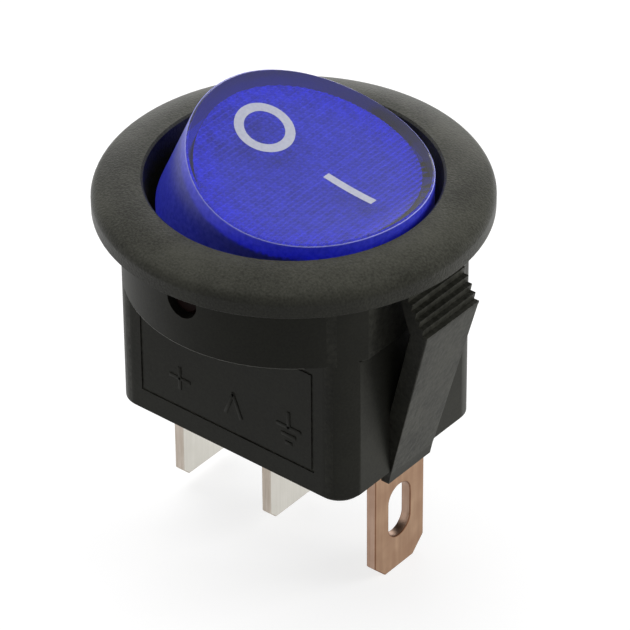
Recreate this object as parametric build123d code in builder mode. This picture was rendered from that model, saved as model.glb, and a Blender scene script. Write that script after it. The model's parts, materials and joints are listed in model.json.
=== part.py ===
from build123d import *
import math
import os

# Round snap-in rocker switch with a lamp inside. Lengths are millimetres and angles degrees.
# z = 0 is the underside of the bezel, which seats on the panel; +z points out of the panel.
# +x points from the off end of the rocker to the on end. The model stands with the on end pressed.

# Bezel, skirt and the round bore that the rocker swings in
bore_radius = 8.35
opening_flare = 0.19
skirt_wall = 1.55
skirt_depth = 4.6
ledge_thickness = 1.0
bezel_overhang = 1.6
bezel_lip_height = 1.92
bezel_crown_bulge = 0.16
bezel_shoulder_drop = 0.54
bezel_shoulder_inset = 0.45
bezel_rim_height = 0.8
bezel_edge_bevel = 0.06
bezel_lip_bevel = 0.12

# Contact box below the skirt
body_length = 17.22
body_width = 12.44
body_depth = 14.25
body_corner = 1.6
body_base_bevel = 0.25
end_wall = 0.8
side_wall = 1.0
floor_thickness = 1.4
well_corner = 0.7
end_flat_step = 0.29

# Frame engraved on the two long faces
frame_length = 12.7
frame_top_gap = 1.13
frame_base_gap = 1.72
frame_line = 0.18
frame_engraving = 0.07

# Spring clips at the two ends, free at the top and stepped for panels of different thickness
clip_width = 4.76
clip_foot_width = 3.85
clip_barb = 1.55
clip_shoulder_depth = 3.35
clip_nose_reach = 0.03
clip_nose_rise = 0.22
clip_tip_gap = 0.31
clip_tip_barb = 0.05
clip_tip_thickness = 0.7
clip_thickness = 1.2
clip_root_height = 4.15
clip_slot_gap = 0.05
clip_step_count = 6
clip_step_undercut = 0.1
clip_foot_drop = 0.75
clip_foot_tuck = 0.15
clip_foot_thickness = 0.7
relief_depth = 0.2
relief_margin = 0.3
relief_land = 0.2

# Rocker: a round cup with a dished top, widening down to its hem and hung on two trunnions
pivot_depth = 1.5
press_angle = 14.0
rocker_gap = 0.3
rocker_taper = 10.4
rocker_height = 4.69
rocker_hem_height = 0.3
rocker_wall = 0.7
rocker_top_thickness = 1.4
rocker_rim_bevel = 0.14
dish_radius = 22.4
ear_radius = 1.6
ear_thickness = 1.15
ear_inset = 0.2
trunnion_radius = 1.0
trunnion_clearance = 0.05
trunnion_recess = 0.4
trunnion_chamfer = 0.2

# Plunger guide inside the rocker, plunger and its spring
plunger_radius = 1.0
plunger_clearance = 0.05
plunger_length = 5.0
plunger_wall = 0.36
guide_wall = 0.75
plunger_show = 3.4
guide_roof = 0.32
plunger_spring_gap = 0.12
plunger_spring_wire = 0.2
plunger_spring_turns = 5

# Contact arm that rocks on the load terminal, and the two contact rivets
arm_ratio_share = 0.5
arm_floor_gap = 3.21
contact_gap = 0.04
arm_thickness = 0.5
arm_width = 4.0
arm_waist = 3.0
arm_notch = 1.5
arm_trough = 4.2
arm_contact_offset = 5.3
arm_end_margin = 1.0
arm_tail = 2.9
rivet_radius = 1.1
rivet_head = 0.45
rivet_dome_radius = 3.0
rivet_shank_radius = 0.6
rivet_tail_radius = 0.85
rivet_tail_height = 0.25
fixed_contact_radius = 1.25
fixed_contact_height = 0.5
fixed_contact_bevel = 0.16

# Blade terminals
blade_width = 4.8
blade_thickness = 0.66
blade_reach = 21.55
blade_chamfer = 0.5
ground_width = 4.5
ground_reach = 22.45
ground_chamfer = 0.95
blade_clearance = 0.05
bend_radius = 0.35
supply_gap = 0.4
supply_pad_width = 3.6
supply_pad_margin = 1.35
ground_gap = 0.06
ground_pad_rise = 2.15
ground_pad_width = 3.6
ground_pad_margin = 1.3
ground_slot_width = 2.0
ground_slot_length = 3.7
ground_slot_gap = 2.25
load_offset = 0.35
load_jog = 0.7
load_ear_gap = 0.1
load_ear_height = 1.6
load_crest_round = 0.3

# Lamp, its leads, the series resistor and the spring that returns the current to the ground terminal
lamp_radius = 1.5
lamp_flange_radius = 1.9
lamp_flange_height = 0.9
lamp_length = 4.3
lamp_gap = 0.15
lamp_lead_pitch = 1.8
lead_width = 0.44
lead_bend = 0.45
lead_drop = 0.85
lead_side_step = 2.7
lead_hole_clearance = 0.08
ground_lead_step = 1.05
ground_lead_overlap = 1.0
resistor_radius = 0.75
resistor_cap_radius = 0.92
resistor_cap_length = 0.8
resistor_length = 3.4
resistor_offset = 3.9
resistor_height = 0.3
ground_spring_radius = 1.1
ground_spring_wire = 0.3
ground_spring_turns = 4
ground_spring_gap = 0.02
ground_stud_gap = 0.15
ground_stud_height = 0.6

# Sides of the section that stands for the springs' round wire
spring_wire_sides = 6

# Length by which cuts run past the faces that they open
overrun = 1.0

# Sizes and places worked out from the driving dimensions
opening_radius = bore_radius + opening_flare
skirt_radius = bore_radius + skirt_wall
bezel_radius = skirt_radius + bezel_overhang
ledge_depth = skirt_depth - ledge_thickness
body_end = body_length / 2
end_flat = body_end + end_flat_step
well_length = body_length - 2 * end_wall
well_width = body_width - 2 * side_wall
floor_depth = body_depth - floor_thickness
clip_reach = skirt_radius + clip_barb
clip_tip_reach = skirt_radius + clip_tip_barb
clip_nose = clip_reach + clip_nose_reach
clip_nose_depth = clip_shoulder_depth - clip_nose_rise
clip_root_depth = body_depth - clip_root_height
relief_radius = bezel_radius - bezel_edge_bevel - relief_land
frame_height = body_depth - skirt_depth - frame_top_gap - frame_base_gap
arm_fulcrum_depth = floor_depth - arm_floor_gap
arm_angle = press_angle * arm_ratio_share
plunger_reach = arm_fulcrum_depth - arm_thickness - contact_gap - pivot_depth
guide_drop = plunger_reach - plunger_show
ground_pad_depth = floor_depth - ground_pad_rise
rocker_base_radius = bore_radius - rocker_gap
rocker_blank_height = rocker_height + 2 * overrun
rocker_blank_inset = (rocker_blank_height - rocker_hem_height) * math.tan(math.radians(rocker_taper))
rocker_blank_radius = rocker_base_radius - rocker_blank_inset
ear_outer = rocker_base_radius - ear_inset
ear_inner = ear_outer - ear_thickness
trunnion_reach = skirt_radius - trunnion_recess
guide_bore_radius = plunger_radius + plunger_clearance
guide_radius = guide_bore_radius + guide_wall
guide_top = rocker_height - rocker_top_thickness - guide_roof
plunger_top = plunger_length - plunger_reach
lead_entry_height = guide_top - lead_width / 2 - contact_gap
supply_x = -(well_length / 2 - supply_gap - blade_thickness / 2)
ground_x = well_length / 2 - ground_gap - blade_thickness / 2
lamp_x = guide_radius + lamp_gap + lamp_flange_radius
roof_rise = dish_radius - math.sqrt(dish_radius**2 - lamp_x**2)
lamp_base = rocker_height - rocker_top_thickness + roof_rise - lamp_gap - lamp_length

# The arm's trough follows the plunger's nose, so the plunger keeps the same length over the whole swing
nose_swing = plunger_reach - plunger_radius
nose_height = arm_thickness + contact_gap + plunger_radius
nose_travel = nose_swing - arm_ratio_share * nose_height
nose_rise = nose_swing * (arm_ratio_share + 1 / 2) - nose_height * arm_ratio_share**2 / 2
trough_radius = nose_travel**2 / (2 * nose_rise) + plunger_radius + contact_gap
trough_depth = trough_radius - math.sqrt(trough_radius**2 - (arm_trough / 2) ** 2)
trough_outer_radius = trough_radius + arm_thickness
trough_outer_half = math.sqrt(trough_outer_radius**2 - (trough_outer_radius - trough_depth) ** 2)
arm_end = -(arm_contact_offset + arm_end_margin)


def turned_plane(depth, angle):
    """A plane at a depth on the z axis, turned about y as the rocker turns when its on end is pressed."""
    turn = math.radians(angle)
    return Plane(
        origin=(0, 0, -depth),
        x_dir=(math.cos(turn), 0, -math.sin(turn)),
        z_dir=(math.sin(turn), 0, math.cos(turn)),
    )


def section_of(plane):
    """The upright section through a turned plane: local x along the plane, local y out of it."""
    return Plane(origin=plane.origin, x_dir=plane.x_dir, z_dir=(0, -1, 0))


rocker_plane = turned_plane(pivot_depth, press_angle)
rocker_section = section_of(rocker_plane)
rocker_axis = Axis(rocker_plane.origin, rocker_plane.z_dir)
arm_plane = turned_plane(arm_fulcrum_depth, -arm_angle)
arm_section = section_of(arm_plane)

# The lowest point of the rivet's dome decides where the fixed contact lies
dome_height = trough_depth - rivet_head + rivet_dome_radius
dome_center = arm_plane.from_local_coords((-arm_contact_offset, 0, dome_height))
fixed_contact_top = dome_center.Z - rivet_dome_radius - contact_gap
supply_pad_top = fixed_contact_top - fixed_contact_height


def clip_outline():
    """Section of one clip: foot, slanted face, stepped face, tip and an inner face clear of the body."""
    step_rise = (clip_nose_depth - clip_tip_gap) / clip_step_count
    step_back = (clip_nose - clip_tip_reach) / clip_step_count
    points = [
        (body_end - clip_foot_thickness, -body_depth + clip_foot_drop),
        (body_end - clip_foot_thickness, -body_depth - clip_foot_drop),
        (body_end - clip_foot_tuck, -body_depth - clip_foot_drop),
        (body_end, -body_depth),
        (clip_reach, -clip_shoulder_depth),
        (clip_nose, -clip_nose_depth),
    ]
    for step in range(1, clip_step_count + 1):
        step_reach = clip_nose - step * step_back
        points.append((step_reach - clip_step_undercut, -clip_nose_depth + (step - 1) * step_rise))
        points.append((step_reach, -clip_nose_depth + step * step_rise))
    points.append((clip_tip_reach - clip_tip_thickness, -clip_tip_gap))
    points.append((clip_reach - clip_thickness, -clip_shoulder_depth))
    points.append((body_end + clip_slot_gap, -clip_root_depth))
    points.append((body_end - clip_foot_thickness, -clip_root_depth))
    return points


os.makedirs("parts", exist_ok=True)

# One spring clip, a little narrower towards its foot
with BuildPart() as clip:
    with BuildSketch(Plane.XZ):
        with BuildLine():
            Polyline(*clip_outline(), close=True)
        make_face()
    extrude(amount=clip_width / 2, both=True)
    with BuildSketch(Plane.YZ):
        with BuildLine():
            Polyline(
                (-clip_width / 2, 0),
                (-clip_width / 2, -clip_shoulder_depth),
                (-clip_foot_width / 2, -body_depth - clip_foot_drop),
                (clip_foot_width / 2, -body_depth - clip_foot_drop),
                (clip_width / 2, -clip_shoulder_depth),
                (clip_width / 2, 0),
                close=True,
            )
        make_face()
    extrude(amount=clip_nose + overrun, mode=Mode.INTERSECT)

# Housing: bezel, skirt, contact box and clips in one moulding
with BuildPart() as housing:
    with BuildSketch(Plane.XZ):
        with BuildLine():
            seat = Line((0, 0), (bezel_radius - bezel_edge_bevel, 0))
            lower_edge = Line(seat @ 1, (bezel_radius, bezel_edge_bevel))
            crown = SagittaArc(
                (opening_radius, bezel_lip_height),
                (bezel_radius - bezel_shoulder_inset, bezel_lip_height - bezel_shoulder_drop),
                bezel_crown_bulge,
            )
            shoulder = TangentArc(crown @ 1, (bezel_radius, bezel_rim_height), tangent=crown % 1)
            Line(lower_edge @ 1, shoulder @ 1)
            Polyline(crown @ 0, (0, bezel_lip_height), (0, 0))
        make_face()
    revolve(axis=Axis.Z)
    with BuildSketch():
        Circle(skirt_radius)
        Rectangle(2 * end_flat, 2 * skirt_radius, mode=Mode.INTERSECT)
    extrude(amount=-skirt_depth)
    with BuildSketch(Plane.XY.offset(-body_depth)):
        RectangleRounded(body_length, body_width, body_corner)
    extrude(amount=body_depth)
    chamfer(housing.faces().sort_by(Axis.Z)[0].edges(), body_base_bevel)

    # Frames engraved on the long faces
    with BuildSketch(
        Plane.XZ.offset(body_width / 2 - frame_engraving),
        Plane.XZ.offset(-body_width / 2),
    ):
        with Locations((0, frame_base_gap + frame_height / 2 - body_depth)):
            Rectangle(frame_length + frame_line, frame_height + frame_line)
            Rectangle(frame_length - frame_line, frame_height - frame_line, mode=Mode.SUBTRACT)
    extrude(amount=frame_engraving, mode=Mode.SUBTRACT)

    # Clips, with a shallow relief in the bezel above each tip
    add(clip.part)
    mirror(clip.part, about=Plane.YZ)
    with BuildSketch():
        with Locations((end_flat + clip_reach / 2, 0), (-end_flat - clip_reach / 2, 0)):
            Rectangle(clip_reach, clip_width + 2 * relief_margin)
        Circle(relief_radius, mode=Mode.INTERSECT)
    extrude(amount=relief_depth, mode=Mode.SUBTRACT)

    # Round bore, widening to the opening, above the square well
    with BuildSketch(Plane.XZ):
        with BuildLine():
            Polyline(
                (0, -ledge_depth),
                (bore_radius, -ledge_depth),
                (bore_radius, 0),
                (opening_radius, bezel_lip_height),
                (opening_radius, bezel_lip_height + overrun),
                (0, bezel_lip_height + overrun),
                close=True,
            )
        make_face()
    revolve(axis=Axis.Z, mode=Mode.SUBTRACT)
    with BuildSketch(Plane.XY.offset(-floor_depth)):
        RectangleRounded(well_length, well_width, well_corner)
    extrude(amount=floor_depth - ledge_depth + overrun, mode=Mode.SUBTRACT)
    lip = housing.edges().filter_by(GeomType.CIRCLE).filter_by_position(
        Axis.Z, bezel_lip_height - bezel_lip_bevel, bezel_lip_height + bezel_lip_bevel
    )
    chamfer(lip, bezel_lip_bevel)

    # Trunnion holes and terminal slots
    with BuildSketch(Plane.XZ):
        with Locations((0, -pivot_depth)):
            Circle(trunnion_radius + trunnion_clearance)
    extrude(amount=skirt_radius + overrun, both=True, mode=Mode.SUBTRACT)
    with BuildSketch(Plane.XY.offset(-body_depth - overrun)):
        with Locations((supply_x, 0), (-load_offset, 0)):
            Rectangle(blade_thickness + 2 * blade_clearance, blade_width + 2 * blade_clearance)
        with Locations((ground_x, 0)):
            Rectangle(blade_thickness + 2 * blade_clearance, ground_width + 2 * blade_clearance)
    extrude(amount=floor_thickness + 2 * overrun, mode=Mode.SUBTRACT)
housing.part.label = "housing"
export_step(housing.part, "parts/housing.step")

# Space inside the rocker cup, under its dished top
with BuildPart() as rocker_hollow:
    with BuildSketch(rocker_section):
        with BuildLine():
            Polyline(
                (0, rocker_hem_height - overrun),
                (rocker_base_radius - rocker_wall, rocker_hem_height - overrun),
                (rocker_base_radius - rocker_wall, rocker_hem_height),
                (rocker_blank_radius - rocker_wall, rocker_blank_height),
                (0, rocker_blank_height),
                close=True,
            )
        make_face()
    revolve(axis=rocker_axis)
    with BuildSketch(rocker_section):
        with Locations((0, rocker_height + dish_radius)):
            Circle(dish_radius + rocker_top_thickness)
    extrude(amount=bore_radius, both=True, mode=Mode.SUBTRACT)

# Rocker: translucent cup with ears, trunnions and the plunger guide
with BuildPart() as rocker:
    with BuildSketch(rocker_section):
        with BuildLine():
            Polyline(
                (0, rocker_hem_height),
                (rocker_base_radius, rocker_hem_height),
                (rocker_blank_radius, rocker_blank_height),
                (0, rocker_blank_height),
                close=True,
            )
        make_face()
    revolve(axis=rocker_axis)
    with BuildSketch(rocker_section):
        with Locations((0, rocker_height + dish_radius)):
            Circle(dish_radius)
    extrude(amount=bore_radius, both=True, mode=Mode.SUBTRACT)
    rim = rocker.faces().sort_by(rocker_axis)[-1].edges()
    chamfer(rim, rocker_rim_bevel)
    add(rocker_hollow.part, mode=Mode.SUBTRACT)
    with BuildSketch(rocker_section.offset(ear_inner), rocker_section.offset(-ear_outer)):
        Circle(ear_radius)
        with Locations((0, rocker_hem_height)):
            Rectangle(2 * ear_radius, ear_radius)
    extrude(amount=ear_thickness)
    with BuildSketch(rocker_section.offset(ear_inner), rocker_section.offset(-trunnion_reach)):
        Circle(trunnion_radius)
    extrude(amount=trunnion_reach - ear_inner)
    tips = rocker.faces().filter_by(Axis.Y).sort_by(Axis.Y)
    chamfer(tips[0].edges() + tips[-1].edges(), trunnion_chamfer)
    with BuildSketch(rocker_plane.offset(-guide_drop)):
        Circle(guide_radius)
    extrude(amount=guide_drop + rocker_height - rocker_top_thickness / 2)
    with BuildSketch(rocker_plane.offset(-guide_drop)):
        Circle(guide_bore_radius)
    extrude(amount=guide_drop + guide_top, mode=Mode.SUBTRACT)
    with BuildSketch(rocker_section):
        with Locations((0, lead_entry_height)):
            Rectangle(lead_width + 2 * lead_hole_clearance, lead_width + 2 * lead_hole_clearance)
    extrude(amount=guide_radius + overrun, mode=Mode.SUBTRACT)
rocker.part.label = "rocker"
export_step(rocker.part, "parts/rocker.step")

# Plunger: a drawn brass cap with a round nose, open at the top for its spring
plunger_bore = plunger_radius - plunger_wall
plunger_floor = plunger_radius - plunger_reach + plunger_wall
with BuildPart() as plunger:
    with BuildSketch(rocker_section):
        with BuildLine():
            nose = CenterArc((0, plunger_radius - plunger_reach), plunger_radius, -90, 90)
            Polyline(
                nose @ 1,
                (plunger_radius, plunger_top),
                (plunger_bore, plunger_top),
                (plunger_bore, plunger_floor),
                (0, plunger_floor),
                nose @ 0,
            )
        make_face()
    revolve(axis=rocker_axis)
plunger.part.label = "plunger"
export_step(plunger.part, "parts/plunger.step")


def coil_spring(foot, axis, height, radius, wire, turns):
    """An open coil of wire between two seats that lie height apart along the axis."""
    climb = height - wire
    base = foot + axis * (wire / 2)
    with BuildPart() as spring:
        with BuildLine() as path:
            Helix(climb / turns, climb, radius, center=base, direction=axis)
        with BuildSketch(Plane(origin=path.line @ 0, z_dir=path.line % 0)):
            RegularPolygon(wire / 2, spring_wire_sides)
        sweep(is_frenet=True)
    return spring.part


spring_top = lead_entry_height - lead_width / 2
plunger_spring = coil_spring(
    rocker_plane.from_local_coords((0, 0, plunger_floor)),
    rocker_plane.z_dir,
    spring_top - plunger_floor,
    plunger_bore - plunger_spring_gap - plunger_spring_wire / 2,
    plunger_spring_wire,
    plunger_spring_turns,
)
plunger_spring.label = "plunger_spring"
export_step(plunger_spring, "parts/plunger_spring.step")

# Contact arm: a strip pressed into a trough at the fulcrum, notched at the waist for the terminal's ears
with BuildPart() as contact_arm:
    with BuildSketch(arm_section):
        with BuildLine():
            upper = RadiusArc(
                (-arm_trough / 2, trough_depth + arm_thickness),
                (arm_trough / 2, trough_depth + arm_thickness),
                -trough_radius,
            )
            lower = RadiusArc(
                (-trough_outer_half, trough_depth),
                (trough_outer_half, trough_depth),
                -trough_outer_radius,
            )
            Polyline(upper @ 0, (arm_end, trough_depth + arm_thickness), (arm_end, trough_depth), lower @ 0)
            Polyline(upper @ 1, (arm_tail, trough_depth + arm_thickness), (arm_tail, trough_depth), lower @ 1)
        make_face()
    extrude(amount=arm_width / 2, both=True)
    with BuildSketch(arm_plane):
        with Locations((0, (arm_width + arm_waist) / 4), (0, -(arm_width + arm_waist) / 4)):
            Rectangle(arm_notch, (arm_width - arm_waist) / 2)
    extrude(amount=trough_depth + arm_thickness + overrun, mode=Mode.SUBTRACT)
    with BuildSketch(arm_plane):
        with Locations((-arm_contact_offset, 0)):
            Circle(rivet_shank_radius)
    extrude(amount=trough_depth + arm_thickness + overrun, mode=Mode.SUBTRACT)
contact_arm.part.label = "contact_arm"
export_step(contact_arm.part, "parts/contact_arm.step")

# Moving contact: a rivet with a domed head under the arm and a flat tail above it
rivet_x = -arm_contact_offset
rivet_seat = trough_depth
rivet_tail_seat = trough_depth + arm_thickness
dome_edge = rivet_dome_radius - math.sqrt(rivet_dome_radius**2 - rivet_radius**2)
with BuildPart() as moving_contact:
    with BuildSketch(arm_section):
        with BuildLine():
            dome = RadiusArc(
                (rivet_x, rivet_seat - rivet_head),
                (rivet_x + rivet_radius, rivet_seat - rivet_head + dome_edge),
                -rivet_dome_radius,
            )
            Polyline(
                dome @ 1,
                (rivet_x + rivet_radius, rivet_seat),
                (rivet_x + rivet_shank_radius, rivet_seat),
                (rivet_x + rivet_shank_radius, rivet_tail_seat),
                (rivet_x + rivet_tail_radius, rivet_tail_seat),
                (rivet_x + rivet_tail_radius, rivet_tail_seat + rivet_tail_height),
                (rivet_x, rivet_tail_seat + rivet_tail_height),
                dome @ 0,
            )
        make_face()
    revolve(axis=Axis(arm_plane.from_local_coords((rivet_x, 0, 0)), arm_plane.z_dir))
moving_contact.part.label = "moving_contact"
export_step(moving_contact.part, "parts/moving_contact.step")


def tip_edges(part):
    """The four short edges at the lower corners of a blade."""
    return part.edges().filter_by(Axis.X).group_by(Axis.Z)[0]


# Supply terminal: a blade bent over into a pad that carries the fixed contact
supply_pad_end = dome_center.X + supply_pad_margin
with BuildPart() as terminal_supply:
    with BuildSketch(Plane.XZ):
        with BuildLine():
            FilletPolyline(
                (supply_x - blade_thickness / 2, -blade_reach),
                (supply_x - blade_thickness / 2, supply_pad_top),
                (supply_pad_end, supply_pad_top),
                radius=bend_radius + blade_thickness,
            )
            FilletPolyline(
                (supply_x + blade_thickness / 2, -blade_reach),
                (supply_x + blade_thickness / 2, supply_pad_top - blade_thickness),
                (supply_pad_end, supply_pad_top - blade_thickness),
                radius=bend_radius,
            )
            Line(
                (supply_x - blade_thickness / 2, -blade_reach),
                (supply_x + blade_thickness / 2, -blade_reach),
            )
            Line((supply_pad_end, supply_pad_top), (supply_pad_end, supply_pad_top - blade_thickness))
        make_face()
    extrude(amount=blade_width / 2, both=True)
    chamfer(tip_edges(terminal_supply), blade_chamfer)
    with BuildSketch(Plane.XY.offset(supply_pad_top)):
        with Locations((dome_center.X, 0)):
            Rectangle(2 * supply_pad_margin, blade_width)
            Rectangle(2 * supply_pad_margin, supply_pad_width, mode=Mode.SUBTRACT)
    extrude(amount=-blade_thickness, mode=Mode.SUBTRACT)
terminal_supply.part.label = "terminal_supply"
export_step(terminal_supply.part, "parts/terminal_supply.step")

with BuildPart() as fixed_contact:
    with BuildSketch(Plane.XY.offset(supply_pad_top)):
        with Locations((dome_center.X, 0)):
            Circle(fixed_contact_radius)
    extrude(amount=fixed_contact_height)
    chamfer(fixed_contact.edges().group_by(Axis.Z)[-1], fixed_contact_bevel)
fixed_contact.part.label = "fixed_contact"
export_step(fixed_contact.part, "parts/fixed_contact.step")

# Load terminal: a blade jogged under the rocker's axis, with a crest for the arm and an ear at each side
crest_depth = arm_fulcrum_depth + contact_gap
load_low = -load_offset - blade_thickness / 2
load_high = -load_offset + blade_thickness / 2
with BuildPart() as terminal_load:
    with BuildSketch(Plane.XZ):
        with BuildLine():
            Polyline(
                (load_low, -blade_reach),
                (load_high, -blade_reach),
                (load_high, -floor_depth),
                (blade_thickness / 2, -floor_depth + load_jog),
                (blade_thickness / 2, -crest_depth + load_ear_height),
                (-blade_thickness / 2, -crest_depth + load_ear_height),
                (-blade_thickness / 2, -floor_depth + load_jog),
                (load_low, -floor_depth),
                close=True,
            )
        make_face()
    extrude(amount=blade_width / 2, both=True)
    chamfer(tip_edges(terminal_load), blade_chamfer)
    with BuildSketch(Plane.XY.offset(-crest_depth)):
        Rectangle(blade_thickness + overrun, arm_waist + 2 * load_ear_gap)
    extrude(amount=load_ear_height + overrun, mode=Mode.SUBTRACT)
    crest = terminal_load.edges().filter_by(Axis.Y).filter_by_position(
        Axis.Z, -crest_depth - load_crest_round, -crest_depth + load_crest_round
    )
    fillet(crest, load_crest_round)
terminal_load.part.label = "terminal_load"
export_step(terminal_load.part, "parts/terminal_load.step")

# Places of the lamp's leads in the rocker, which the ground terminal's stud lines up with
lead_level = lamp_base - lead_drop
ground_lead_x = lamp_x + ground_lead_step
ground_touch = rocker_plane.from_local_coords((ground_lead_x, 0, lead_level))

# Ground terminal: a slotted blade bent over into a pad with a stud for the return spring
ground_pad_end = ground_touch.X - ground_pad_margin
ground_stud_radius = ground_spring_radius - ground_spring_wire / 2 - ground_stud_gap
with BuildPart() as terminal_ground:
    with BuildSketch(Plane.XZ):
        with BuildLine():
            FilletPolyline(
                (ground_x + blade_thickness / 2, -ground_reach),
                (ground_x + blade_thickness / 2, -ground_pad_depth),
                (ground_pad_end, -ground_pad_depth),
                radius=bend_radius + blade_thickness,
            )
            FilletPolyline(
                (ground_x - blade_thickness / 2, -ground_reach),
                (ground_x - blade_thickness / 2, -ground_pad_depth - blade_thickness),
                (ground_pad_end, -ground_pad_depth - blade_thickness),
                radius=bend_radius,
            )
            Line(
                (ground_x - blade_thickness / 2, -ground_reach),
                (ground_x + blade_thickness / 2, -ground_reach),
            )
            Line((ground_pad_end, -ground_pad_depth), (ground_pad_end, -ground_pad_depth - blade_thickness))
        make_face()
    extrude(amount=ground_width / 2, both=True)
    chamfer(tip_edges(terminal_ground), ground_chamfer)
    with BuildSketch(Plane.XY.offset(-ground_pad_depth)):
        with Locations((ground_touch.X, 0)):
            Rectangle(2 * ground_pad_margin, ground_width)
            Rectangle(2 * ground_pad_margin, ground_pad_width, mode=Mode.SUBTRACT)
    extrude(amount=-blade_thickness, mode=Mode.SUBTRACT)
    with BuildSketch(Plane.XY.offset(-ground_pad_depth)):
        with Locations((ground_touch.X, 0)):
            Circle(ground_stud_radius)
    extrude(amount=ground_stud_height)
    with BuildSketch(Plane.YZ.offset(ground_x)):
        with Locations((0, ground_slot_gap + ground_slot_length / 2 - ground_reach)):
            SlotOverall(ground_slot_length, ground_slot_width, rotation=90)
    extrude(amount=blade_thickness, both=True, mode=Mode.SUBTRACT)
terminal_ground.part.label = "terminal_ground"
export_step(terminal_ground.part, "parts/terminal_ground.step")

ground_spring_top = ground_touch.Z - lead_width - ground_spring_gap
ground_spring = coil_spring(
    Vector(ground_touch.X, 0, -ground_pad_depth),
    Vector(0, 0, 1),
    ground_spring_top + ground_pad_depth,
    ground_spring_radius,
    ground_spring_wire,
    ground_spring_turns,
)
ground_spring.label = "ground_spring"
export_step(ground_spring, "parts/ground_spring.step")

# Lamp: a small domed lens with a flange, standing beside the guide inside the rocker
with BuildPart() as lamp:
    with BuildSketch(rocker_section):
        with BuildLine():
            dome_low = lamp_base + lamp_length - lamp_radius
            lens = CenterArc((lamp_x, dome_low), lamp_radius, 0, 90)
            Polyline(
                lens @ 0,
                (lamp_x + lamp_radius, lamp_base + lamp_flange_height),
                (lamp_x + lamp_flange_radius, lamp_base + lamp_flange_height),
                (lamp_x + lamp_flange_radius, lamp_base),
                (lamp_x, lamp_base),
                lens @ 1,
            )
        make_face()
    revolve(axis=Axis(rocker_plane.from_local_coords((lamp_x, 0, 0)), rocker_plane.z_dir))
lamp.part.label = "lamp"
export_step(lamp.part, "parts/lamp.step")


def lead_wire(places, side):
    """A square wire through places given along the rocker, across it and out of it, bent at each corner."""
    points = [rocker_plane.from_local_coords(place) for place in places]
    with BuildPart() as wire:
        with BuildLine() as path:
            FilletPolyline(*points, radius=lead_bend)
        with BuildSketch(Plane(origin=path.line @ 0, x_dir=side, z_dir=path.line % 0)):
            Rectangle(lead_width, lead_width)
        sweep()
    return wire.part


lamp_ground_lead = lead_wire(
    [
        (lamp_x, -lamp_lead_pitch / 2, lamp_base),
        (lamp_x, -lamp_lead_pitch / 2, lead_level),
        (ground_lead_x, -lamp_lead_pitch / 2, lead_level),
        (ground_lead_x, ground_lead_overlap, lead_level),
    ],
    rocker_plane.y_dir,
)
lamp_ground_lead.label = "lamp_ground_lead"
export_step(lamp_ground_lead, "parts/lamp_ground_lead.step")

lamp_feed_lead = lead_wire(
    [
        (lamp_x, lamp_lead_pitch / 2, lamp_base),
        (lamp_x, lamp_lead_pitch / 2, lead_level),
        (lamp_x, lead_side_step, lead_level),
        (-resistor_offset, lead_side_step, lead_level),
        (-resistor_offset, lead_side_step, resistor_height),
        (-resistor_offset, resistor_length / 2, resistor_height),
    ],
    rocker_plane.y_dir,
)
lamp_feed_lead.label = "lamp_feed_lead"
export_step(lamp_feed_lead, "parts/lamp_feed_lead.step")

resistor_feed_lead = lead_wire(
    [
        (-resistor_offset, -resistor_length / 2, resistor_height),
        (-resistor_offset, -lead_side_step, resistor_height),
        (-resistor_offset, -lead_side_step, lead_entry_height),
        (0, -lead_side_step, lead_entry_height),
        (0, plunger_bore, lead_entry_height),
    ],
    rocker_plane.x_dir,
)
resistor_feed_lead.label = "resistor_feed_lead"
export_step(resistor_feed_lead, "parts/resistor_feed_lead.step")

# Resistor: a barrel with two thicker ends, lying across the rocker
with BuildPart() as resistor:
    with BuildSketch(Plane(origin=rocker_plane.from_local_coords((-resistor_offset, 0, resistor_height)),
                           x_dir=(0, 1, 0), z_dir=rocker_plane.x_dir)):
        with BuildLine():
            neck = resistor_length / 2 - resistor_cap_length
            Polyline(
                (-resistor_length / 2, 0),
                (-resistor_length / 2, resistor_cap_radius),
                (-neck, resistor_cap_radius),
                (-neck, resistor_radius),
                (neck, resistor_radius),
                (neck, resistor_cap_radius),
                (resistor_length / 2, resistor_cap_radius),
                (resistor_length / 2, 0),
                close=True,
            )
        make_face()
    revolve(axis=Axis(rocker_plane.from_local_coords((-resistor_offset, 0, resistor_height)), (0, 1, 0)))
resistor.part.label = "resistor"
export_step(resistor.part, "parts/resistor.step")
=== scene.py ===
import json
import math

import bpy
from mathutils import Matrix, Quaternion, Vector


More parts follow.
